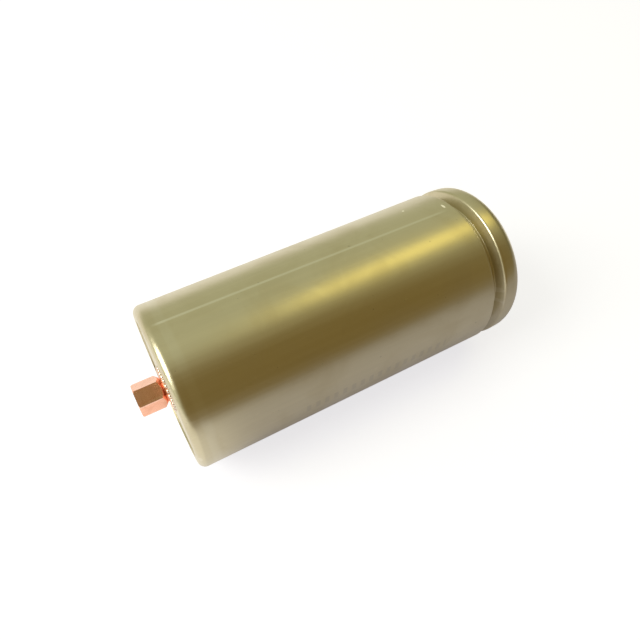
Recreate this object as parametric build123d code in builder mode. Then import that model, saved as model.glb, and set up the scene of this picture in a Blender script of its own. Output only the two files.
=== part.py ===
from build123d import *
import os

# Cylindrical lithium iron phosphate cell of the 32700 size, bare can, with a welded hexagonal
# copper post at each end. It lies on its side: the cell's axis runs along X, the negative post
# points to -X, Z is up, and the can's lowest line is at z = 0. Sizes are in millimetres.
# A station is a distance along the axis from the can's base rim, towards the positive end.

# Can
can_diameter = 32.2
can_length = 70.0
can_wall = 0.4
base_thickness = 0.8
base_corner_radius = 1.5
base_inner_corner_radius = 0.7
base_foot_width = 2.5
base_recess_depth = 0.3
base_recess_corner_radius = 0.1

# Groove rolled into the can below the cap, and the rim crimped over the gasket
groove_to_crimp_top = 5.8
groove_depth = 2.05
groove_mouth = 2.9
groove_floor = 1.3
groove_shoulder_radius = 0.6
groove_floor_radius = 0.7
ridge_radius = 0.5
rim_taper = 0.2
crimp_corner_radius = 2.4
crimp_lip_width = 3.7
crimp_edge_radius = 0.12

# Terminal posts, alike at both ends
post_height = 5.8
post_across_flats = 5.5
post_turn = 35.0
post_end_chamfer = 0.2
post_inner_chamfer = 0.75
post_neck_radius = 2.35
post_neck_length = 0.65
post_flange_radius = 4.0
post_flange_thickness = 0.45
post_hole_radius = 1.25
post_hole_mouth_radius = 1.6
post_hole_depth = 4.5
weld_bead_count = 28
weld_bead_radius = 0.5
weld_bead_sink = 0.02
weld_overlap = 0.12

# Wound electrodes. Each turn holds four ribbons: separator, negative, separator, positive.
separator_thickness = 0.09
electrode_thickness = 0.25
foil_thickness = 0.08
winding_start_radius = 2.3
negative_overhang = 1.0
positive_overhang = 1.6
end_tape_thickness = 0.08
end_tape_width = 24.0
centre_pin_wall = 0.2
centre_pin_slit = 0.5

# Tabs and insulators
tab_thickness = 0.12
tab_width = 4.0
tab_weld_margin = 8.0
tab_bend_radius = 0.5
tab_fold_reach = 3.0
tab_tape_thickness = 0.1
tab_tape_length = 4.0
insulator_thickness = 0.4
insulator_centre_hole_radius = 1.5
electrolyte_hole_radius = 1.2
electrolyte_hole_count = 6
electrolyte_hole_inset = 4.0

# Cap stack
gasket_seat_height = 0.65
gasket_wall = 0.9
gasket_leg_width = 1.6
gasket_show = 0.4
vent_disc_thickness = 0.5
vent_disc_corner_radius = 0.2
vent_lip_width = 1.6
vent_dish_width = 3.0
vent_dish_slope = 1.4
vent_score_depth = 0.3
vent_score_width = 0.5
vent_score_inset = 1.5
vent_ring_thickness = 0.5
vent_ring_width = 2.4
vent_ring_skirt = 0.5
weld_plate_thickness = 0.6
weld_plate_hole_radius = 0.9
weld_plate_hole_count = 6
weld_plate_hole_inset = 4.6
cap_flange_thickness = 1.2
cap_hat_thickness = 0.8
cap_hat_rise = 0.5
cap_hat_inset = 5.0
cap_slope_width = 1.4
cap_bend_radius = 0.9
cap_vent_count = 4
cap_vent_radius = 0.8

# Clearances
film = 0.02
ribbon_gap = 0.03
flat_gap = 0.1
side_gap = 0.2
roll_gap = 0.3
loose_gap = 0.5
neck_gap = 0.9
fold_gap = 1.0

# Places worked out from the sizes above
can_radius = can_diameter / 2
bore_radius = can_radius - can_wall
rim_radius = can_radius - rim_taper
base_recess_radius = can_radius - base_foot_width
groove_station = can_length - groove_to_crimp_top
groove_start = groove_station - groove_mouth / 2
groove_end = groove_station + groove_mouth / 2

stack_bottom = groove_end + gasket_seat_height
stack_radius = rim_radius - can_wall - gasket_wall
flange_bottom = stack_bottom + vent_disc_thickness
flange_top = flange_bottom + cap_flange_thickness
stack_top = flange_top + vent_disc_thickness
hat_top = can_length + cap_hat_rise
hat_radius = stack_radius - cap_hat_inset
leg_radius = stack_radius - gasket_leg_width
vent_ring_bottom = stack_bottom - vent_ring_thickness
vent_ring_radius = leg_radius - side_gap
weld_plate_bottom = vent_ring_bottom - weld_plate_thickness
weld_plate_radius = vent_ring_radius - vent_ring_skirt - film

base_stand_out = post_height - base_recess_depth
overall_length = base_stand_out + hat_top + post_height
base_x = base_stand_out - overall_length / 2
weld_circle_radius = post_flange_radius + weld_overlap

bottom_insulator_bottom = base_thickness + tab_thickness + flat_gap
roll_bottom = bottom_insulator_bottom + insulator_thickness + flat_gap
top_insulator_top = groove_start - neck_gap
top_insulator_bottom = top_insulator_top - insulator_thickness
roll_top = top_insulator_bottom - flat_gap
insulator_radius = bore_radius - loose_gap
fold_station = top_insulator_top + fold_gap
centre_pin_radius = winding_start_radius - loose_gap

# Radius of each ribbon's inner face where the winding starts
half_pitch = separator_thickness + electrode_thickness + 2 * ribbon_gap
negative_radius = winding_start_radius + separator_thickness + ribbon_gap
outer_separator_radius = winding_start_radius + half_pitch
positive_radius = negative_radius + half_pitch

# The roll has as many half turns as fit in the can. Its last half turn is separator alone.
roll_limit = bore_radius - roll_gap - end_tape_thickness - ribbon_gap
first_reach = outer_separator_radius + separator_thickness + half_pitch / 2
half_turns = int((roll_limit - first_reach) / half_pitch) + 1
roll_radius = first_reach + (half_turns - 1) * half_pitch
negative_tab_half_turn = half_turns - 2
positive_tab_half_turn = half_turns // 4 * 2

cell_axis = Axis((0, 0, can_radius), (1, 0, 0))
profile_plane = Plane(origin=(base_x, 0, can_radius), x_dir=(1, 0, 0), z_dir=(0, -1, 0))


def across(station):
    """Plane square to the cell's axis at a station, facing the positive end, its Y upwards."""
    return Plane(origin=(base_x + station, 0, can_radius), x_dir=(0, 1, 0), z_dir=(1, 0, 0))


def save(piece, name):
    """Label a finished piece and write it to its own file."""
    piece.label = name
    export_step(piece, f"parts/{name}.step")


def other_face(points, bends, thickness):
    """Corners and bend radii of a bent strip's right-hand face, from those of its left-hand face."""
    points = [Vector(*point) for point in points]
    runs = [(after - before).normalized() for before, after in zip(points, points[1:])]
    normals = [Vector(run.Y, -run.X) for run in runs]
    corners = [points[0] + normals[0] * thickness]
    other_bends = []
    for point, run, first, second, bend in zip(points[1:], runs, normals, normals[1:], bends):
        corners.append(point + (first + second) * (thickness / (1 + first.dot(second))))
        turns_right = run.dot(second) < 0
        other_bends.append(bend - thickness if turns_right else bend + thickness)
    corners.append(points[-1] + normals[-1] * thickness)
    return [(corner.X, corner.Y) for corner in corners], other_bends


def ribbon(inner_radius, thickness, first, last):
    """Section of a wound ribbon, from half circles about two centres beside the cell's axis."""
    with BuildLine() as outline:
        for half_turn in range(first, last):
            side = 1 if half_turn % 2 == 0 else -1
            centre = -side * half_pitch / 2
            inner = inner_radius + half_turn * half_pitch
            outer = inner + thickness
            start_angle = 0 if side > 0 else 180
            CenterArc((centre, 0), inner, start_angle, 180)
            CenterArc((centre, 0), outer, start_angle, 180)
            if half_turn == first:
                Line((centre + side * inner, 0), (centre + side * outer, 0))
            if half_turn == last - 1:
                Line((centre - side * inner, 0), (centre - side * outer, 0))
    make_face(outline.edges())


def tab_place(ribbon_radius, half_turn):
    """Side of the axis, centre and foil radius where a tab sits on a ribbon's half turn."""
    side = 1 if half_turn % 2 == 0 else -1
    return side, -side * half_pitch / 2, ribbon_radius + half_turn * half_pitch + foil_thickness


def tab_section(place, gap, thickness, width):
    """Curved section that lies on a ribbon's foil at the middle of a half turn."""
    side, centre, foil_radius = place
    inner = foil_radius + gap
    with Locations((centre, 0)):
        Circle(inner + thickness)
        Circle(inner, mode=Mode.SUBTRACT)
    with Locations((centre, side * inner)):
        Rectangle(width, inner, mode=Mode.INTERSECT)


def tab_slot(place):
    """Slot that a tab passes through, with room on every side."""
    side, centre, foil_radius = place
    with Locations((centre, side * foil_radius)):
        Rectangle(tab_width + 2 * side_gap, 2 * loose_gap, mode=Mode.SUBTRACT)


os.makedirs("parts", exist_ok=True)

# The can's outside from the base corner to the crimped lip, and the bends between its runs
can_outside = [
    (0, can_radius),
    (groove_start, can_radius),
    (groove_station - groove_floor / 2, can_radius - groove_depth),
    (groove_station + groove_floor / 2, can_radius - groove_depth),
    (groove_end, can_radius),
    (can_length, rim_radius),
    (can_length, rim_radius - crimp_lip_width),
]
can_bends = [
    groove_shoulder_radius,
    groove_floor_radius,
    groove_floor_radius,
    ridge_radius,
    crimp_corner_radius,
]
can_inside, can_inside_bends = other_face(can_outside, can_bends, can_wall)

# Deep-drawn nickel-plated steel can: base, wall, rolled groove and crimped lip in one piece
with BuildPart() as can:
    with BuildSketch(profile_plane):
        with BuildLine():
            base_face = [
                (base_recess_depth, 0),
                (base_recess_depth, base_recess_radius),
                (0, base_recess_radius),
            ]
            base_inside = [(base_thickness, bore_radius), (base_thickness, 0)]
            FilletPolyline(
                *base_face,
                *can_outside,
                *reversed(can_inside[1:]),
                *base_inside,
                radius=[
                    *[0, 0, base_recess_corner_radius, base_corner_radius],
                    *can_bends,
                    *[crimp_edge_radius, crimp_edge_radius],
                    *reversed(can_inside_bends),
                    *[base_inner_corner_radius, 0],
                ],
                close=True,
            )
        make_face()
    revolve(axis=cell_axis)
save(can.part, "can")

# Copper posts, each a weld flange, a round neck and a hexagon with a blind M3 hole in its end,
# and the ring of overlapping spot-weld beads that fastens each flange
base_seat = Plane(across(base_recess_depth).origin, x_dir=(0, 1, 0), z_dir=(-1, 0, 0))
for end, seat in (("negative", base_seat), ("positive", across(hat_top))):
    hexagon_length = post_height - post_neck_length
    with BuildPart() as post:
        with BuildSketch(seat.offset(post_neck_length)):
            Circle(post_across_flats / 3 ** 0.5)
        extrude(amount=hexagon_length)
        outwards = Axis(seat.origin, seat.z_dir)
        rims = post.edges().filter_by(GeomType.CIRCLE).sort_by(outwards)
        chamfer(rims[0], length=post_inner_chamfer)
        rims = post.edges().filter_by(GeomType.CIRCLE).sort_by(outwards)
        chamfer(rims[-1], length=post_end_chamfer)
        with BuildSketch(seat.offset(post_neck_length)):
            RegularPolygon(post_across_flats / 2, 6, major_radius=False, rotation=post_turn)
        extrude(amount=hexagon_length, mode=Mode.INTERSECT)
        with BuildSketch(seat):
            Circle(post_neck_radius)
        extrude(amount=post_neck_length)
        with BuildSketch(seat):
            Circle(post_flange_radius)
        extrude(amount=post_flange_thickness)
        with Locations(seat.offset(post_height)):
            CounterSinkHole(post_hole_radius, post_hole_mouth_radius, post_hole_depth, 90)
    save(post.part, f"{end}_post")

    with BuildPart() as weld:
        with Locations(seat.offset(-weld_bead_sink)):
            with PolarLocations(weld_circle_radius, weld_bead_count):
                Sphere(weld_bead_radius)
        with BuildSketch(seat):
            Circle(weld_circle_radius + weld_bead_radius)
            Circle(post_flange_radius + film, mode=Mode.SUBTRACT)
        extrude(amount=weld_bead_radius, mode=Mode.INTERSECT)
    save(weld.part, f"{end}_post_weld")

# Wound separators and electrodes. The separators stand out past the electrodes at both ends,
# and the negative ribbon past the positive one. Each electrode has a bared pocket for its tab.
negative_place = tab_place(negative_radius, negative_tab_half_turn)
positive_place = tab_place(positive_radius, positive_tab_half_turn)
separators = (("inner_separator", winding_start_radius), ("outer_separator", outer_separator_radius))
for name, inner_radius in separators:
    with BuildPart() as separator:
        with BuildSketch(across(roll_bottom)):
            ribbon(inner_radius, separator_thickness, 0, half_turns)
        extrude(amount=roll_top - roll_bottom)
    save(separator.part, name)

negative_bottom = roll_bottom + negative_overhang
negative_top = roll_top - negative_overhang
with BuildPart() as negative_electrode:
    with BuildSketch(across(negative_bottom)):
        ribbon(negative_radius, electrode_thickness, 1, half_turns - 1)
    extrude(amount=negative_top - negative_bottom)
    with BuildSketch(across(negative_bottom)):
        tab_section(negative_place, 0, electrode_thickness, tab_width + 2 * side_gap)
    extrude(amount=negative_top - tab_weld_margin - negative_bottom, mode=Mode.SUBTRACT)
save(negative_electrode.part, "negative_electrode")

positive_bottom = roll_bottom + positive_overhang
positive_top = roll_top - positive_overhang
with BuildPart() as positive_electrode:
    with BuildSketch(across(positive_bottom)):
        ribbon(positive_radius, electrode_thickness, 2, half_turns - 2)
    extrude(amount=positive_top - positive_bottom)
    with BuildSketch(across(positive_bottom + tab_weld_margin)):
        tab_section(positive_place, 0, electrode_thickness, tab_width + 2 * side_gap)
    extrude(amount=positive_top - positive_bottom - tab_weld_margin, mode=Mode.SUBTRACT)
save(positive_electrode.part, "positive_electrode")

# Closing tape round the middle of the roll
with BuildPart() as roll_tape:
    with BuildSketch(across((roll_bottom + roll_top - end_tape_width) / 2)):
        Circle(roll_radius + ribbon_gap + end_tape_thickness)
        Circle(roll_radius + ribbon_gap, mode=Mode.SUBTRACT)
    extrude(amount=end_tape_width)
save(roll_tape.part, "roll_tape")

# Slit steel tube in the middle of the roll
with BuildPart() as centre_pin:
    with BuildSketch(across(negative_bottom)):
        Circle(centre_pin_radius)
        Circle(centre_pin_radius - centre_pin_wall, mode=Mode.SUBTRACT)
        with Locations((0, centre_pin_radius)):
            Rectangle(centre_pin_slit, centre_pin_radius, mode=Mode.SUBTRACT)
    extrude(amount=negative_top - negative_bottom)
save(centre_pin.part, "centre_pin")

# Nickel negative tab: down the last turn of the negative ribbon and across the can's base
with BuildPart() as negative_tab:
    side, centre, foil_radius = negative_place
    tab_outside = foil_radius + film + tab_thickness
    with BuildSketch(across(base_thickness)):
        with Locations((centre, side * (tab_outside - tab_fold_reach) / 2)):
            Rectangle(tab_width, tab_outside + tab_fold_reach)
        with Locations((centre, 0)):
            Circle(tab_outside, mode=Mode.INTERSECT)
    extrude(amount=tab_thickness)
    with BuildSketch(across(base_thickness)):
        tab_section(negative_place, film, tab_thickness, tab_width)
    extrude(amount=negative_top - tab_weld_margin - side_gap - base_thickness)
save(negative_tab.part, "negative_tab")

# Fibre disc between the roll and the can's base, notched for the negative tab
with BuildPart() as bottom_insulator:
    with BuildSketch(across(bottom_insulator_bottom)):
        Circle(insulator_radius)
        Circle(insulator_centre_hole_radius, mode=Mode.SUBTRACT)
        tab_slot(negative_place)
    extrude(amount=insulator_thickness)
save(bottom_insulator.part, "bottom_insulator")

# Fibre disc on top of the roll, with a slot for the positive tab and holes for the electrolyte
with BuildPart() as top_insulator:
    with BuildSketch(across(top_insulator_bottom)):
        Circle(insulator_radius)
        Circle(insulator_centre_hole_radius, mode=Mode.SUBTRACT)
        with PolarLocations(insulator_radius - electrolyte_hole_inset, electrolyte_hole_count):
            Circle(electrolyte_hole_radius, mode=Mode.SUBTRACT)
        tab_slot(positive_place)
    extrude(amount=insulator_thickness)
save(top_insulator.part, "top_insulator")

# Aluminium positive tab: out of the roll, folded over the insulator and back under the weld plate
side, centre, foil_radius = positive_place
tab_inside = foil_radius + film
tab_plane = profile_plane.offset(-centre)
tab_path = [
    (top_insulator_bottom, tab_inside + tab_thickness),
    (fold_station, tab_inside + tab_thickness),
    (fold_station, -tab_fold_reach),
    (weld_plate_bottom - tab_thickness, -tab_fold_reach),
    (weld_plate_bottom - tab_thickness, tab_fold_reach),
]
tab_bends = [tab_bend_radius] * 3
with BuildPart() as positive_tab:
    with BuildSketch(across(positive_bottom + tab_weld_margin + side_gap)):
        tab_section(positive_place, film, tab_thickness, tab_width)
    extrude(amount=top_insulator_top - positive_bottom - tab_weld_margin)
    with BuildSketch(tab_plane):
        tab_return, tab_return_bends = other_face(tab_path, tab_bends, tab_thickness)
        with BuildLine():
            FilletPolyline(
                *tab_path,
                *reversed(tab_return),
                radius=[0, *tab_bends, 0, 0, *reversed(tab_return_bends), 0],
                close=True,
            )
        make_face()
    extrude(amount=tab_width / 2, both=True)
save(positive_tab.part, "positive_tab")

# Polyimide tape wrapped round the positive tab's fold, so that it can't touch the can
with BuildPart() as positive_tab_tape:
    wrap = tab_tape_thickness + film
    with BuildSketch(tab_plane):
        with Locations((fold_station - tab_thickness / 2, tab_inside / 2)):
            Rectangle(tab_thickness + 2 * wrap, tab_tape_length)
    extrude(amount=tab_width / 2 + wrap, both=True)
    with BuildSketch(tab_plane):
        with Locations((fold_station - tab_thickness / 2, tab_inside / 2)):
            Rectangle(tab_thickness + 2 * film, tab_tape_length)
    extrude(amount=tab_width / 2 + film, both=True, mode=Mode.SUBTRACT)
save(positive_tab_tape.part, "positive_tab_tape")

# Polypropylene gasket squeezed between the can's groove and crimp and the cap stack
with BuildPart() as gasket:
    with BuildSketch(profile_plane):
        cavity, cavity_bends = other_face(can_outside, can_bends, can_wall + film)
        with BuildLine():
            FilletPolyline(
                (cavity[2][0], 0),
                *cavity[2:],
                (cavity[-1][0], 0),
                radius=[0, 0, *cavity_bends[2:], 0, 0],
                close=True,
            )
        make_face()
        with BuildLine():
            Polyline(
                (groove_end - gasket_seat_height / 2, leg_radius),
                (stack_bottom, leg_radius),
                (stack_bottom, stack_radius + film),
                (stack_top, stack_radius + film),
                (stack_top, rim_radius - crimp_lip_width - gasket_show),
                (can_length, rim_radius - crimp_lip_width - gasket_show),
                (can_length, can_radius),
                (groove_end - gasket_seat_height / 2, can_radius),
                close=True,
            )
        make_face(mode=Mode.INTERSECT)
    revolve(axis=cell_axis)
save(gasket.part, "gasket")

# Aluminium vent disc: scored dish in the middle, and a rim folded over the cap's flange
dish_bottom = flange_bottom - vent_ring_thickness
dish_mouth_radius = vent_ring_radius - vent_ring_width - vent_dish_slope / 2
dish_floor_radius = dish_mouth_radius - vent_dish_slope
with BuildPart() as vent_disc:
    with BuildSketch(profile_plane):
        with BuildLine():
            FilletPolyline(
                (dish_bottom - vent_disc_thickness, 0),
                (dish_bottom - vent_disc_thickness, dish_floor_radius),
                (stack_bottom, dish_mouth_radius),
                (stack_bottom, stack_radius),
                (stack_top, stack_radius),
                (stack_top, stack_radius - vent_lip_width),
                (flange_top, stack_radius - vent_lip_width),
                (flange_top, stack_radius - vent_disc_thickness),
                (flange_bottom, stack_radius - vent_disc_thickness),
                (flange_bottom, dish_mouth_radius),
                (dish_bottom, dish_floor_radius),
                (dish_bottom, 0),
                radius=[*[0] * 3, *[vent_disc_corner_radius] * 3, *[0] * 6],
                close=True,
            )
        make_face()
        with Locations((dish_bottom, dish_floor_radius - vent_score_inset)):
            Rectangle(2 * vent_score_depth, vent_score_width, mode=Mode.SUBTRACT)
    revolve(axis=cell_axis)
save(vent_disc.part, "vent_disc")

# Plastic ring that keeps the vent disc's rim off the weld plate and holds the plate's edge
with BuildPart() as vent_insulator_ring:
    with BuildSketch(profile_plane):
        with BuildLine():
            Polyline(
                (stack_bottom, vent_ring_radius - vent_ring_width),
                (stack_bottom, vent_ring_radius),
                (weld_plate_bottom, vent_ring_radius),
                (weld_plate_bottom, vent_ring_radius - vent_ring_skirt),
                (vent_ring_bottom, vent_ring_radius - vent_ring_skirt),
                (vent_ring_bottom, vent_ring_radius - vent_ring_width),
                close=True,
            )
        make_face()
    revolve(axis=cell_axis)
save(vent_insulator_ring.part, "vent_insulator_ring")

# Aluminium plate that the positive tab is welded to, with gas holes round the vent disc's weld
with BuildPart() as weld_plate:
    with BuildSketch(across(weld_plate_bottom)):
        Circle(weld_plate_radius)
        with PolarLocations(weld_plate_radius - weld_plate_hole_inset, weld_plate_hole_count):
            Circle(weld_plate_hole_radius, mode=Mode.SUBTRACT)
    extrude(amount=weld_plate_thickness)
save(weld_plate.part, "weld_plate")

# Nickel-plated steel cap: flat flange in the vent disc's rim, and a raised hat with gas vents
cap_rim_radius = stack_radius - vent_disc_thickness - film
slope_radius = hat_radius + cap_slope_width
with BuildPart() as top_cap:
    with BuildSketch(profile_plane):
        with BuildLine():
            FilletPolyline(
                (flange_bottom, slope_radius - cap_hat_thickness),
                (flange_bottom, cap_rim_radius),
                (flange_top, cap_rim_radius),
                (flange_top, slope_radius),
                (hat_top, hat_radius),
                (hat_top, 0),
                (hat_top - cap_hat_thickness, 0),
                (hat_top - cap_hat_thickness, hat_radius - cap_hat_thickness),
                radius=[0, 0, 0, cap_bend_radius / 3, cap_bend_radius, 0, 0, cap_bend_radius / 3],
                close=True,
            )
        make_face()
    revolve(axis=cell_axis)
    vent_station = (flange_top + hat_top - cap_hat_thickness) / 2
    for index in range(cap_vent_count):
        vent_plane = profile_plane.rotated((360 / cap_vent_count * (index + 0.5), 0, 0))
        with BuildSketch(Plane(vent_plane.origin, x_dir=vent_plane.x_dir, z_dir=vent_plane.y_dir)):
            with Locations((vent_station, 0)):
                Circle(cap_vent_radius)
        extrude(amount=cap_rim_radius, mode=Mode.SUBTRACT)
save(top_cap.part, "top_cap")
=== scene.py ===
import bmesh
import bpy
import math
import random
from mathutils import Matrix, Vector


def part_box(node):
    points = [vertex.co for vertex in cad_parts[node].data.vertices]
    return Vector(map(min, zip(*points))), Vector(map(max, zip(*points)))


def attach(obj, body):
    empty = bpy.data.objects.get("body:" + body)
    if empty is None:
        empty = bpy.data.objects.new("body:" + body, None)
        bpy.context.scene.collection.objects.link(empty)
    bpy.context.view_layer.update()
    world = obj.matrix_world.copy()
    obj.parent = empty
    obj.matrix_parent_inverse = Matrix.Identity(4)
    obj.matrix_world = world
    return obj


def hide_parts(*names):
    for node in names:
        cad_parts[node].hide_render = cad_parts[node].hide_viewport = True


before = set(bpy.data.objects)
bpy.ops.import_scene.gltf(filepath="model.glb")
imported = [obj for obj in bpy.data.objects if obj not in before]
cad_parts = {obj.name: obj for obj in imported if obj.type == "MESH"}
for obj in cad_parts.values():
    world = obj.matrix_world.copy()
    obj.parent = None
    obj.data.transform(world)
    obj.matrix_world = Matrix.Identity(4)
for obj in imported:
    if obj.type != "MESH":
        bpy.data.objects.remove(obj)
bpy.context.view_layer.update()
MM = 0.001


# Camera: held above the cell's front left, close enough for a wide lens, and looking down at
# the middle of the cell. Nothing is out of focus.
can_low, can_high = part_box("can")
axis_height = (can_low.z + can_high.z) / 2
camera_data = bpy.data.cameras.new("studio_camera")
camera_data.lens = 29.96
camera_data.shift_x = 0.0547
camera_data.shift_y = 0.0253
camera_data.clip_start = 1 * MM
camera = bpy.data.objects.new("studio_camera", camera_data)
bpy.context.scene.collection.objects.link(camera)
camera.location = (can_low.x - 2.55 * MM, -52.07 * MM, 103.04 * MM)
aim = Vector((can_low.x + 25.06 * MM, 0.05 * MM, axis_height))
camera.rotation_euler = (aim - camera.location).to_track_quat("-Z", "Y").to_euler()
bpy.context.scene.camera = camera


# Studio floor: a wide pale sheet under the cell. It glows a little, so that it stays near white and the
# shadow on it stays soft, and metal mirrors it darker than it looks, with a painted shadow in front of
# the cell away from its base.
def add_node(tree, kind, feeds, **settings):
    """Add a shader node. Feeds give each input a value, or the output that it takes."""
    added = tree.nodes.new(f"ShaderNode{kind}")
    for setting, value in settings.items():
        setattr(added, setting, value)
    for socket, feed in feeds.items():
        if isinstance(feed, bpy.types.NodeSocket):
            tree.links.new(feed, added.inputs[socket])
        else:
            added.inputs[socket].default_value = feed
    return added


def add_mix(tree, factor, first, second):
    feeds = {"Factor": factor, "A": first, "B": second}
    return add_node(tree, "Mix", feeds, data_type="RGBA").outputs["Result"]


def add_math(tree, operation, first, second=0.0, third=0.0):
    return add_node(tree, "Math", {0: first, 1: second, 2: third}, operation=operation).outputs[0]


def add_ramp(tree, value, start, end, low=0.0, high=1.0):
    feeds = {"Value": value, "From Min": start, "From Max": end, "To Min": low, "To Max": high}
    return add_node(tree, "MapRange", feeds, interpolation_type="SMOOTHSTEP").outputs["Result"]


sheet = bmesh.new()
bmesh.ops.create_grid(sheet, x_segments=1, y_segments=1, size=4)
floor_data = bpy.data.meshes.new("studio_floor")
sheet.to_mesh(floor_data)
sheet.free()
floor = bpy.data.objects.new("studio_floor", floor_data)
bpy.context.scene.collection.objects.link(floor)
floor_material = bpy.data.materials.new("studio_floor")
floor_material.use_nodes = True
floor_tree = floor_material.node_tree
from_camera = add_node(floor_tree, "LightPath", {}).outputs["Is Camera Ray"]
floor_spot = add_node(floor_tree, "TexCoord", {}).outputs["Object"]
floor_place = add_node(floor_tree, "SeparateXYZ", {0: floor_spot})
# Painted shadow: the glow that metal mirrors is darker in front of the cell, away from its base.
in_front = add_ramp(floor_tree, floor_place.outputs["Y"], 4 * MM, -12 * MM)
along = add_ramp(floor_tree, floor_place.outputs["X"], can_low.x - 6 * MM, can_low.x + 16 * MM)
painted_front_shadow = add_math(floor_tree, "MULTIPLY", in_front, along)
mirrored_glow = add_mix(floor_tree, painted_front_shadow, (0.76, 0.75, 0.70, 1), (0.20, 0.20, 0.23, 1))
floor_colour = add_mix(floor_tree, from_camera, (0.36, 0.34, 0.38, 1), (0.40, 0.41, 0.45, 1))
floor_glow = add_mix(floor_tree, from_camera, mirrored_glow, (0.70, 0.70, 0.74, 1))
floor_shader = floor_tree.nodes["Principled BSDF"]
floor_shader.inputs["Roughness"].default_value = 0.9
floor_shader.inputs["Emission Strength"].default_value = 1
floor_tree.links.new(floor_colour, floor_shader.inputs["Base Color"])
floor_tree.links.new(floor_glow, floor_shader.inputs["Emission Color"])
floor.data.materials.append(floor_material)


# Studio light: a warm soft box overhead and to the right, a white one at the left, and a room
# that is pale behind the cell and dark in front of it. The camera itself sees a plain pale wall.
def soft_box(name, place, size, power, colour):
    light_data = bpy.data.lights.new(name, "AREA")
    light_data.shape = "RECTANGLE"
    light_data.size, light_data.size_y = size
    light_data.energy = power
    light_data.color = colour
    light = bpy.data.objects.new(name, light_data)
    light.location = place
    light.rotation_euler = (aim - light.location).to_track_quat("-Z", "Y").to_euler()
    bpy.context.scene.collection.objects.link(light)


soft_box("overhead_soft_box", (0.26, 0.04, 0.42), (0.11, 0.3), 0.15, (1, 0.82, 0.14))
soft_box("left_soft_box", (-0.42, 0.045, 0.36), (0.3, 0.3), 2.0, (1, 0.98, 0.90))

world = bpy.data.worlds.new("studio_room")
world.use_nodes = True
bpy.context.scene.world = world
room = world.node_tree
room.nodes.clear()
direction = add_node(room, "TexCoord", {}).outputs["Generated"]
forwards = Vector((0.1, -0.88, 0.46)).normalized()
facing = add_node(room, "VectorMath", {0: direction, 1: forwards}, operation="DOT_PRODUCT")
front = add_ramp(room, facing.outputs["Value"], 0.35, 0.85)
rightwards = add_node(room, "SeparateXYZ", {0: direction}).outputs["X"]
right = add_ramp(room, rightwards, 0.6, 0.95)
side_walls = add_mix(room, right, (0.60, 0.61, 0.42, 1), (0.20, 0.18, 0.08, 1))
walls = add_mix(room, front, side_walls, (0.235, 0.165, 0.045, 1))
room_from_camera = add_node(room, "LightPath", {}).outputs["Is Camera Ray"]
seen = add_mix(room, room_from_camera, walls, (0.97, 0.97, 0.97, 1))
sky = add_node(room, "Background", {"Color": seen}).outputs["Background"]
add_node(room, "OutputWorld", {"Surface": sky})
bpy.context.scene.view_settings.view_transform = "Standard"


# Can: deep-drawn nickel-plated steel, closed at the base, with a groove rolled in below the cap
# and the rim crimped over the gasket. Stations are in millimetres from the base rim.
def finish_piece(name, shape, *nodes):
    """Make a piece from a bmesh, with its normals outwards, in place of CAD nodes."""
    bmesh.ops.recalc_face_normals(shape, faces=shape.faces)
    data = bpy.data.meshes.new(name)
    shape.to_mesh(data)
    shape.free()
    data.shade_smooth()
    piece = bpy.data.objects.new(name, data)
    bpy.context.scene.collection.objects.link(piece)
    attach(piece, "root")
    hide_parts(*nodes)
    return piece


def turned(outline, bends, sides, closed=False):
    """Turn a section about the cell's axis, from corners (station, radius) and bend radii."""
    shape = bmesh.new()
    corners = [shape.verts.new((can_low.x + x * MM, 0, axis_height + r * MM)) for x, r in outline]
    for first, second in zip(corners, corners[1:]):
        shape.edges.new((first, second))
    if closed:
        shape.edges.new((corners[-1], corners[0]))
    for corner, bend in zip(corners, bends):
        if not bend:
            continue
        arms = [(edge.other_vert(corner).co - corner.co).normalized() for edge in corner.link_edges]
        half_turn = (math.pi - arms[0].angle(arms[1])) / 2
        bmesh.ops.bevel(
            shape, geom=[corner], offset=bend * MM * math.tan(half_turn), profile=0.5,
            segments=max(3, int(math.degrees(half_turn) / 4)), affect="VERTICES", material=-1,
        )
    bmesh.ops.spin(
        shape, geom=shape.verts[:] + shape.edges[:], cent=(0, 0, axis_height), axis=(1, 0, 0),
        angle=math.tau, steps=sides, use_merge=True,
    )
    bmesh.ops.remove_doubles(shape, verts=shape.verts, dist=0.0001 * MM)
    return shape


can_radius = (can_high.z - can_low.z) / 2 / MM
can_length = (can_high.x - can_low.x) / MM
wall = 0.4
bore_radius = can_radius - wall
base_recess = 0.3
base_inside = 0.8
base_recess_radius = can_radius - 2.5
groove = can_length - 5.8
groove_floor = can_radius - 2.05
rim_radius = can_radius - 0.2
lip_radius = can_radius - 3.9
can_section = [
    (base_recess, 0), (base_recess, base_recess_radius), (0, base_recess_radius), (0, can_radius),
    (groove - 1.45, can_radius), (groove - 0.75, groove_floor),
    (groove + 0.65, groove_floor), (groove + 1.45, can_radius),
    (can_length, rim_radius), (can_length, lip_radius),
    (can_length - wall, lip_radius), (can_length - wall, rim_radius - wall),
    (groove + 1.6, bore_radius), (groove + 0.9, groove_floor - wall),
    (groove - 0.9, groove_floor - wall), (groove - 1.6, bore_radius),
    (base_inside, bore_radius), (base_inside, 0),
]
can_bends = [
    0, 0.12, 0.1, 1.5, 0.3, 0.35, 0.15, 0.5, 2.4, 0.12, 0.12, 2.0, 0.15, 1.1, 1.1, 0.2, 0.7, 0,
]
can = finish_piece("can_shell", turned(can_section, can_bends, 256), "can")


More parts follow.
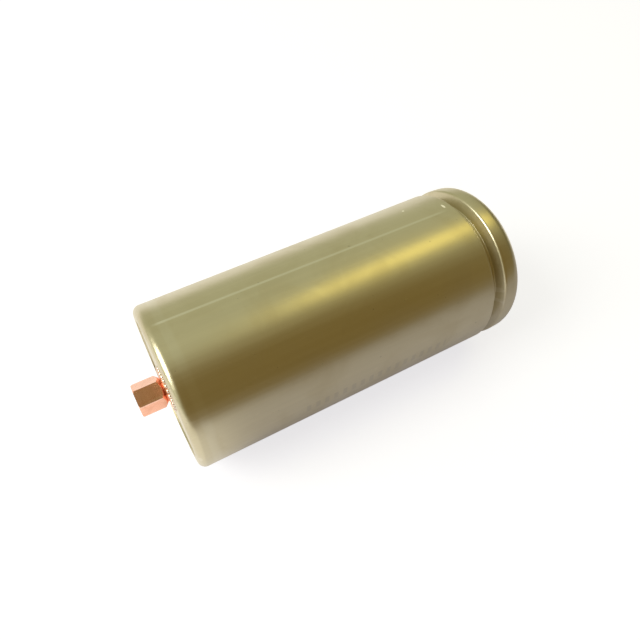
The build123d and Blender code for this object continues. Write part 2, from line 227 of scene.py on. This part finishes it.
def new_group(name, inputs, outputs):
    """Start a shader node group from its sockets' kinds and starting values."""
    group = bpy.data.node_groups.new(name, "ShaderNodeTree")
    for socket, kind, value in inputs:
        made = group.interface.new_socket(socket, in_out="INPUT", socket_type=f"NodeSocket{kind}")
        made.default_value = value
    for socket, kind in outputs:
        group.interface.new_socket(socket, in_out="OUTPUT", socket_type=f"NodeSocket{kind}")
    return group, group.nodes.new("NodeGroupInput").outputs, group.nodes.new("NodeGroupOutput").inputs


def add_vector(tree, operation, first, second):
    return add_node(tree, "VectorMath", {0: first, 1: second}, operation=operation).outputs[0]


def add_noise(tree, place, scale, detail, roughness=0.5, distortion=0.0):
    feeds = {
        "Vector": place, "Scale": scale, "Detail": detail, "Roughness": roughness,
        "Distortion": distortion,
    }
    return add_node(tree, "TexNoise", feeds).outputs["Fac"]


metal_finish, given, made = new_group("metal_finish", [
    ("Colour", "Color", (0.6, 0.6, 0.6, 1)),
    ("Stain Colour", "Color", (0.4, 0.4, 0.4, 1)),
    ("Stain", "Float", 0.5),
    ("Stain Scale", "Float", 200.0),
    ("Grain Scale", "Vector", (25.0, 1800.0, 1800.0)),
    ("Grain", "Float", 0.1),
    ("Rub Marks", "Float", 0.2),
    ("Edge Wear", "Float", 0.2),
    ("Roughness", "Float", 0.3),
], [("Colour", "Color"), ("Roughness", "Float"), ("Height", "Float")])
tree = metal_finish
place = add_node(tree, "TexCoord", {}).outputs["Object"]
grain = add_noise(tree, add_vector(tree, "MULTIPLY", place, given["Grain Scale"]), 1.0, 3.0, 0.6)
grain_swing = add_math(tree, "MULTIPLY", add_math(tree, "SUBTRACT", grain, 0.5), given["Grain"])
blotches = add_noise(tree, place, given["Stain Scale"], 6.0, 0.55, 0.7)
stained = add_math(tree, "MULTIPLY", add_ramp(tree, blotches, 0.4, 0.7), given["Stain"])
slanted = add_node(tree, "VectorRotate", {"Vector": place, "Axis": (0.3, 0.8, 0.5), "Angle": 0.6})
rub_place = add_vector(tree, "MULTIPLY", slanted.outputs["Vector"], (110.0, 2600.0, 1500.0))
rubs = add_ramp(tree, add_noise(tree, rub_place, 1.0, 2.0), 0.66, 0.76)
rubbed = add_math(tree, "MULTIPLY", rubs, given["Rub Marks"])
pitted = add_ramp(tree, add_noise(tree, place, 1300.0, 1.0), 0.77, 0.81)
# Convex edges, found by pointiness, are mixed towards a pale bare-metal colour: partly edge wear,
# partly a painted highlight along the edges.
pointed = add_node(tree, "NewGeometry", {}).outputs["Pointiness"]
worn_and_highlit = add_math(tree, "MULTIPLY", add_ramp(tree, pointed, 0.505, 0.56), given["Edge Wear"])
toned = add_mix(tree, stained, given["Colour"], given["Stain Colour"])
grain_light = add_math(tree, "ADD", grain_swing, 1.0)
pit_light = add_math(tree, "MULTIPLY_ADD", pitted, -0.25, grain_light)
rub_light = add_math(tree, "MULTIPLY_ADD", rubbed, 0.3, pit_light)
lit = add_node(tree, "VectorMath", {0: toned, "Scale": rub_light}, operation="SCALE").outputs[0]
bare_and_highlit = add_mix(tree, 0.5, given["Colour"], (0.95, 0.93, 0.88, 1))
tree.links.new(add_mix(tree, worn_and_highlit, lit, bare_and_highlit), made["Colour"])
grain_rough = add_math(tree, "MULTIPLY_ADD", grain_swing, 0.8, given["Roughness"])
stain_rough = add_math(tree, "MULTIPLY_ADD", stained, 0.08, grain_rough)
tree.links.new(add_math(tree, "MULTIPLY_ADD", rubbed, 0.15, stain_rough), made["Roughness"])
rub_height = add_math(tree, "MULTIPLY_ADD", rubbed, -0.3, grain_swing)
tree.links.new(add_math(tree, "MULTIPLY_ADD", pitted, -0.3, rub_height), made["Height"])


def new_material(name, group, metallic, relief, **values):
    """Make a material on a shared finish; relief is how deep its bumps are, in millimetres."""
    material = bpy.data.materials.new(name)
    material.use_nodes = True
    tree = material.node_tree
    finish = add_node(tree, "Group", {}, node_tree=group)
    for socket, value in values.items():
        finish.inputs[socket.replace("_", " ").title()].default_value = value
    bump_feeds = {"Height": finish.outputs["Height"], "Strength": 1.0, "Distance": relief * MM}
    bump = add_node(tree, "Bump", bump_feeds)
    shader = tree.nodes["Principled BSDF"]
    shader.inputs["Metallic"].default_value = metallic
    tree.links.new(finish.outputs["Colour"], shader.inputs["Base Color"])
    tree.links.new(finish.outputs["Roughness"], shader.inputs["Roughness"])
    tree.links.new(bump.outputs["Normal"], shader.inputs["Normal"])
    return material, finish.outputs, shader.inputs


def give(material, *names):
    """Put a material on CAD nodes that keep their own shape."""
    for name in names:
        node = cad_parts[name]
        node.data.materials.clear()
        node.data.materials.append(material)


nickel, nickel_finish, nickel_shader = new_material(
    "nickel_plated_can", metal_finish, 1, 0.02, colour=(0.60, 0.545, 0.395, 1),
    stain_colour=(0.52, 0.455, 0.30, 1), stain=0.5, stain_scale=110.0,
    grain_scale=(25.0, 1700.0, 1700.0), grain=0.1, rub_marks=0.15, edge_wear=0.35, roughness=0.31,
)
# Marks on the can: a long faint drawing line near the top and a row of plain etched dashes low on the
# front. Painted light on it too: two small near-white spots near the top, a painted highlight for the
# glints of small dents, and a paler band beside the base, a painted reflection.
tree = nickel.node_tree
spot = add_node(tree, "SeparateXYZ", {0: add_node(tree, "TexCoord", {}).outputs["Object"]})
station = add_math(tree, "MULTIPLY_ADD", spot.outputs["X"], 1 / MM, -can_low.x / MM)
across = add_math(tree, "DIVIDE", spot.outputs["Y"], MM)
above = add_math(tree, "MULTIPLY_ADD", spot.outputs["Z"], 1 / MM, -axis_height / MM)
line_place = add_math(tree, "MULTIPLY_ADD", station, 0.0127, -2.54)
line_distance = add_math(tree, "ABSOLUTE", add_math(tree, "ADD", across, line_place))
on_top = add_ramp(tree, above, 0.0, 1.0)
line_ends = add_math(tree, "MULTIPLY", add_ramp(tree, station, 1.2, 3), add_ramp(tree, station, 62, 58))
line_body = add_math(tree, "MULTIPLY", add_ramp(tree, line_distance, 0.4, 0.08), on_top)
line = add_math(tree, "MULTIPLY", line_body, line_ends)


def glint_spot(along, aside, half_length, half_width):
    """Mask of a small oval spot on the can's upper side, painted near-white as the glint of a small
    dent: a painted highlight.
    """
    x = add_math(tree, "DIVIDE", add_math(tree, "SUBTRACT", station, along), half_length)
    y = add_math(tree, "DIVIDE", add_math(tree, "SUBTRACT", across, aside), half_width)
    spread = add_math(tree, "ADD", add_math(tree, "MULTIPLY", x, x), add_math(tree, "MULTIPLY", y, y))
    return add_math(tree, "MULTIPLY", add_ramp(tree, spread, 1.0, 0.3), on_top)


# Painted highlight: two small near-white spots near the top, standing for glints on small dents.
nick_glints = add_math(tree, "ADD", glint_spot(61.3, 3.1, 0.3, 0.75), glint_spot(54.5, 6.5, 0.28, 0.28))
# Painted reflection: a paler band round the can beside the base.
base_reflection_band = add_math(tree, "MULTIPLY", add_ramp(tree, station, 2.2, 2.9), add_ramp(tree, station, 4.6, 3.8))
etched_foot = add_ramp(tree, above, -0.6, -0.3)
etched_rows = add_math(tree, "MULTIPLY", etched_foot, add_ramp(tree, above, 1.6, 1.3))
etched_start = add_ramp(tree, station, 20, 20.3)
etched_ends = add_math(tree, "MULTIPLY", etched_start, add_ramp(tree, station, 52, 51.7))
dash = add_math(tree, "SINE", add_math(tree, "MULTIPLY", station, 3.3))
dashes = add_math(tree, "MULTIPLY", add_ramp(tree, dash, -0.1, 0.3), add_ramp(tree, across, 0.0, -1.0))
etched_area = add_math(tree, "MULTIPLY", etched_rows, etched_ends)
etched = add_math(tree, "MULTIPLY", etched_area, dashes)
paler = add_math(tree, "MULTIPLY_ADD", line, 0.5, add_math(tree, "MULTIPLY", base_reflection_band, 0.12))
paled_by_line_and_reflection = add_mix(tree, paler, nickel_finish["Colour"], (0.78, 0.77, 0.68, 1))
darkened = add_mix(tree, add_math(tree, "MULTIPLY", etched, 0.2), paled_by_line_and_reflection, (0.30, 0.28, 0.26, 1))
brightened = add_mix(tree, nick_glints, darkened, (1.0, 0.98, 0.93, 1))
tree.links.new(brightened, nickel_shader["Base Color"])
nick_glint_rough = add_math(tree, "MULTIPLY_ADD", nick_glints, 0.5, nickel_finish["Roughness"])
tree.links.new(add_math(tree, "MULTIPLY_ADD", line, 0.12, nick_glint_rough), nickel_shader["Roughness"])
can.data.materials.append(nickel)


# Terminal posts: turned and milled from copper bar, a weld flange, a neck and a hexagon, with a
# blind hole tapped M3. The two are alike; each is spot-welded to its end of the cell.
def add_shape(shape, other):
    """Put one bmesh's mesh in another."""
    carrier = bpy.data.meshes.new("carrier")
    other.to_mesh(carrier)
    other.free()
    shape.from_mesh(carrier)
    bpy.data.meshes.remove(carrier)


def seated(outline, seat, way):
    """Stations of an outline that stands out from a seat, away from the cell's middle."""
    return [(seat + way * height, radius) for height, radius in outline]


post_height = 5.8
half_flats = 2.75
corner_radius = 3.175
neck_radius = 2.35
flange_radius = 4.0
flange_thickness = 0.45
thread_pitch = 0.5
thread_turns = 7
thread_steps = 32


def make_post(name, seat, way, turn):
    hexagon = [
        (0.55, 0), (1.3, 1.25), (1.9, 1.25), (1.9, 1.5), (5.7, 1.5), (post_height, 1.6),
        (post_height, 2.975), (5.6, corner_radius), (1.4, corner_radius), (0.65, 2.425),
        (0.65, neck_radius), (0.1, neck_radius), (0.1, 0),
    ]
    shape = turned(seated(hexagon, seat, way), [0] * 13, 120)
    bmesh.ops.recalc_face_normals(shape, faces=shape.faces)
    for side in range(6):
        angle = math.radians(turn + 60 * side)
        facing = Vector((0, math.cos(angle), math.sin(angle)))
        cut = bmesh.ops.bisect_plane(
            shape, geom=shape.verts[:] + shape.edges[:] + shape.faces[:], clear_outer=True,
            plane_co=Vector((0, 0, axis_height)) + facing * half_flats * MM, plane_no=facing,
            dist=0.00001 * MM,
        )
        rim = [edge for edge in cut["geom_cut"] if isinstance(edge, bmesh.types.BMEdge)]
        bmesh.ops.contextual_create(shape, geom=rim)
    bmesh.ops.recalc_face_normals(shape, faces=shape.faces)
    sharp = [edge for edge in shape.edges if edge.is_manifold and edge.calc_face_angle() > 0.5]
    bmesh.ops.bevel(
        shape, geom=sharp, offset=0.05 * MM, segments=2, profile=0.5, affect="EDGES",
        material=-1, clamp_overlap=True,
    )
    flange = [
        (0, 0), (0, flange_radius), (flange_thickness, flange_radius), (flange_thickness, 2.3),
        (0.5, 0),
    ]
    add_shape(shape, turned(seated(flange, seat, way), [0, 0.05, 0.08, 0, 0], 120))
    thread = bmesh.new()
    ridge = [(5.23, 1.53), (5.67, 1.53), (5.49, 1.27), (5.41, 1.27)]
    corners = [
        thread.verts.new((can_low.x + (seat + way * h) * MM, 0, axis_height + r * MM))
        for h, r in ridge
    ]
    thread.faces.new(corners)
    bmesh.ops.spin(
        thread, geom=thread.verts[:] + thread.edges[:] + thread.faces[:], axis=(1, 0, 0),
        cent=(0, 0, axis_height), dvec=(-way * thread_pitch / thread_steps * MM, 0, 0),
        angle=math.tau * thread_turns, steps=thread_turns * thread_steps,
    )
    bmesh.ops.recalc_face_normals(thread, faces=thread.faces)
    add_shape(shape, thread)
    post = finish_piece(name + "_threaded", shape, name)
    flat_shading = post.modifiers.new("flat_shading", "WEIGHTED_NORMAL")
    flat_shading.weight = 100
    return post


copper, *_ = new_material(
    "brushed_copper", metal_finish, 1, 0.03, colour=(0.92, 0.45, 0.30, 1),
    stain_colour=(0.72, 0.28, 0.15, 1), stain=0.55, stain_scale=420.0,
    grain_scale=(2600.0, 160.0, 160.0), grain=0.16, rub_marks=0.5, edge_wear=0.5, roughness=0.21,
)
negative_seat = base_recess
positive_seat = can_length + 0.5
negative_post = make_post("negative_post", negative_seat, -1, -5)
positive_post = make_post("positive_post", positive_seat, 1, 5)
for post in (negative_post, positive_post):
    post.data.materials.append(copper)


# Welds: a ring of overlapping spot-weld beads round each flange, flattened domes of bright
# remelted metal, each with a shallow crater where the beam stopped, and browned by the heat.
bead_count = 28
bead_radius = 0.5
bead_circle_radius = 4.12


def make_weld(name, seat, way, seed):
    chance = random.Random(seed)
    shape = bmesh.new()
    for bead in range(bead_count):
        grown = bmesh.ops.create_uvsphere(
            shape, u_segments=28, v_segments=14, radius=bead_radius * MM,
        )
        verts = grown["verts"]
        height = 0.86 + 0.1 * chance.random()
        size = 0.92 + 0.08 * chance.random()
        for vert in verts:
            crater = math.exp(-(math.hypot(vert.co.x, vert.co.y) / (0.17 * MM)) ** 2)
            vert.co.z *= 1 - (0.12 * crater if vert.co.z > 0 else 0)
        bmesh.ops.scale(shape, vec=(size, size, height), verts=verts)
        turn_out = Matrix.Rotation(way * math.pi / 2, 4, "Y")
        bmesh.ops.transform(shape, matrix=turn_out, verts=verts)
        bmesh.ops.translate(shape, vec=(0, 0, bead_circle_radius * MM), verts=verts)
        angle = math.tau * (bead + 0.12 * chance.uniform(-1, 1)) / bead_count
        around = Matrix.Rotation(angle, 4, "X")
        bmesh.ops.transform(shape, matrix=around, verts=verts)
    centre = (can_low.x + seat * MM, 0, axis_height)
    bmesh.ops.translate(shape, vec=centre, verts=shape.verts)
    return finish_piece(name + "_beads", shape, name)


weld_metal, *_ = new_material(
    "heat_tinted_weld", metal_finish, 1, 0.03, colour=(0.86, 0.78, 0.70, 1),
    stain_colour=(0.45, 0.22, 0.12, 1), stain=0.75, stain_scale=900.0,
    grain_scale=(2500.0, 2500.0, 2500.0), grain=0.25, rub_marks=0.0, edge_wear=0.2, roughness=0.22,
)
negative_weld = make_weld("negative_post_weld", negative_seat, -1, 3)
positive_weld = make_weld("positive_post_weld", positive_seat, 1, 4)
for weld in (negative_weld, positive_weld):
    weld.data.materials.append(weld_metal)


# Top cap: pressed from nickel-plated steel, with a flat flange clamped in the cap stack and a
# raised hat. Four gas vents are pierced through the hat's slope.
cap_thickness = 0.8
cap_rim_radius = 14.08
vent_count = 4
vent_radius = 0.8
flange_foot = groove + 2.6
flange_top = flange_foot + 1.2
hat_top = positive_seat
hat_inside = hat_top - cap_thickness
cap_section = [
    (flange_foot, 10.2), (flange_foot, cap_rim_radius), (flange_top, cap_rim_radius),
    (flange_top, 11.0), (hat_top, 9.6), (hat_top, 0), (hat_inside, 0), (hat_inside, 8.8),
]
cap_bends = [0.12, 0.1, 0.1, 0.3, 0.9, 0, 0, 0.3]
cap = finish_piece("vented_cap", turned(cap_section, cap_bends, 192, closed=True), "top_cap")
vent_station = (flange_top + hat_inside) / 2
punch_shape = bmesh.new()
for vent in range(vent_count):
    punch = bmesh.ops.create_cone(
        punch_shape, cap_ends=True, segments=48, radius1=vent_radius * MM,
        radius2=vent_radius * MM, depth=6 * MM,
    )["verts"]
    bmesh.ops.translate(punch_shape, vec=(0, 0, 11 * MM), verts=punch)
    vent_turn = Matrix.Rotation(math.tau * (vent + 0.5) / vent_count, 4, "X")
    bmesh.ops.transform(punch_shape, matrix=vent_turn, verts=punch)
vent_centre = (can_low.x + vent_station * MM, 0, axis_height)
bmesh.ops.translate(punch_shape, vec=vent_centre, verts=punch_shape.verts)
punch_data = bpy.data.meshes.new("vent_punch")
punch_shape.to_mesh(punch_data)
punch_shape.free()
punch_object = bpy.data.objects.new("vent_punch", punch_data)
bpy.context.scene.collection.objects.link(punch_object)
piercing = cap.modifiers.new("piercing", "BOOLEAN")
piercing.operation = "DIFFERENCE"
piercing.solver = "EXACT"
piercing.object = punch_object
pierced = bpy.data.meshes.new_from_object(cap.evaluated_get(bpy.context.evaluated_depsgraph_get()))
cap.modifiers.clear()
cap.data = pierced
bpy.data.objects.remove(punch_object)
cap_nickel, *_ = new_material(
    "satin_nickel_cap", metal_finish, 1, 0.02, colour=(0.74, 0.72, 0.66, 1),
    stain_colour=(0.60, 0.56, 0.47, 1), stain=0.6, stain_scale=150.0,
    grain_scale=(600.0, 900.0, 120.0), grain=0.1, rub_marks=0.4, edge_wear=0.5, roughness=0.3,
)
cap.data.materials.clear()
cap.data.materials.append(cap_nickel)


# Gasket: a dark moulded polypropylene ring, squeezed between the can's crimp and the cap stack.
# Only its inner edge shows, inside the crimped lip.
moulded_finish, given, made = new_group("moulded_finish", [
    ("Colour", "Color", (0.1, 0.1, 0.1, 1)),
    ("Second Colour", "Color", (0.2, 0.2, 0.2, 1)),
    ("Mottle", "Float", 0.4),
    ("Mottle Scale", "Vector", (400.0, 400.0, 400.0)),
    ("Texture Scale", "Float", 9000.0),
    ("Roughness", "Float", 0.5),
], [("Colour", "Color"), ("Roughness", "Float"), ("Height", "Float")])
tree = moulded_finish
place = add_node(tree, "TexCoord", {}).outputs["Object"]
mottle_place = add_vector(tree, "MULTIPLY", place, given["Mottle Scale"])
mottle = add_ramp(tree, add_noise(tree, mottle_place, 1.0, 5.0, 0.6, 0.3), 0.35, 0.7)
mottled = add_math(tree, "MULTIPLY", mottle, given["Mottle"])
texture = add_noise(tree, place, given["Texture Scale"], 2.0)
tree.links.new(add_mix(tree, mottled, given["Colour"], given["Second Colour"]), made["Colour"])
mottle_rough = add_math(tree, "MULTIPLY_ADD", mottled, 0.15, given["Roughness"])
tree.links.new(mottle_rough, made["Roughness"])
tree.links.new(add_math(tree, "MULTIPLY_ADD", mottled, 0.4, texture), made["Height"])
gasket_plastic, *_ = new_material(
    "moulded_gasket", moulded_finish, 0, 0.008, colour=(0.022, 0.022, 0.025, 1),
    second_colour=(0.045, 0.045, 0.05, 1), mottle=0.6, roughness=0.45,
)
give(gasket_plastic, "gasket")


# Vent disc and weld plate: rolled aluminium sheet. The disc's rim is folded over the cap, and
# the positive tab is welded under the plate.
aluminium, *_ = new_material(
    "rolled_aluminium", metal_finish, 1, 0.015, colour=(0.86, 0.87, 0.88, 1),
    stain_colour=(0.72, 0.73, 0.75, 1), stain=0.5, stain_scale=180.0,
    grain_scale=(900.0, 1500.0, 60.0), grain=0.14, rub_marks=0.5, edge_wear=0.3, roughness=0.32,
)
give(aluminium, "vent_disc", "weld_plate", "positive_tab")


# Insulators: pressed fibre discs above and below the roll, and a plastic ring that keeps the
# vent disc's rim off the weld plate.
fibre, *_ = new_material(
    "pressed_fibre", moulded_finish, 0, 0.03, colour=(0.10, 0.14, 0.20, 1),
    second_colour=(0.20, 0.24, 0.30, 1), mottle=0.8, mottle_scale=(2500.0, 700.0, 2500.0),
    texture_scale=6000.0, roughness=0.8,
)
give(fibre, "top_insulator", "bottom_insulator")
ring_plastic, *_ = new_material(
    "moulded_ring", moulded_finish, 0, 0.006, colour=(0.80, 0.80, 0.77, 1),
    second_colour=(0.70, 0.70, 0.66, 1), mottle=0.5, roughness=0.4,
)
give(ring_plastic, "vent_insulator_ring")


# Negative tab: rolled nickel strip, welded to the can's base. The positive tab's fold is
# wrapped in amber polyimide tape, so that it can't touch the can.
strip_nickel, *_ = new_material(
    "rolled_nickel_strip", metal_finish, 1, 0.01, colour=(0.70, 0.69, 0.65, 1),
    stain_colour=(0.58, 0.55, 0.48, 1), stain=0.5, stain_scale=300.0,
    grain_scale=(60.0, 2500.0, 2500.0), grain=0.15, rub_marks=0.4, edge_wear=0.3, roughness=0.28,
)
give(strip_nickel, "negative_tab")
amber_tape, *_ = new_material(
    "amber_tape", moulded_finish, 0, 0.005, colour=(0.55, 0.22, 0.03, 1),
    second_colour=(0.68, 0.34, 0.06, 1), mottle=0.7, roughness=0.2,
)
give(amber_tape, "positive_tab_tape")


# Wound roll: two porous white films between two coated foils, graphite on copper and phosphate
# on aluminium, closed round the outside with blue tape and wound on a slit steel pin.
film, *_ = new_material(
    "separator_film", moulded_finish, 0, 0.004, colour=(0.88, 0.88, 0.86, 1),
    second_colour=(0.80, 0.80, 0.77, 1), mottle=0.4, mottle_scale=(120.0, 900.0, 900.0),
    roughness=0.55,
)
give(film, "inner_separator", "outer_separator")
graphite, *_ = new_material(
    "graphite_coating", moulded_finish, 0, 0.01, colour=(0.012, 0.012, 0.014, 1),
    second_colour=(0.035, 0.035, 0.04, 1), mottle=0.8, mottle_scale=(150.0, 1200.0, 1200.0),
    roughness=0.6,
)
give(graphite, "negative_electrode")
phosphate, *_ = new_material(
    "phosphate_coating", moulded_finish, 0, 0.01, colour=(0.025, 0.025, 0.028, 1),
    second_colour=(0.06, 0.06, 0.065, 1), mottle=0.8, mottle_scale=(150.0, 1200.0, 1200.0),
    roughness=0.7,
)
give(phosphate, "positive_electrode")
closing_tape, *_ = new_material(
    "closing_tape", moulded_finish, 0, 0.005, colour=(0.02, 0.12, 0.32, 1),
    second_colour=(0.04, 0.20, 0.42, 1), mottle=0.6, roughness=0.25,
)
give(closing_tape, "roll_tape")
pin_steel, *_ = new_material(
    "rolled_pin_steel", metal_finish, 1, 0.01, colour=(0.62, 0.62, 0.62, 1),
    stain_colour=(0.5, 0.49, 0.47, 1), stain=0.4, stain_scale=300.0,
    grain_scale=(60.0, 2500.0, 2500.0), grain=0.14, rub_marks=0.4, edge_wear=0.3, roughness=0.3,
)
give(pin_steel, "centre_pin")
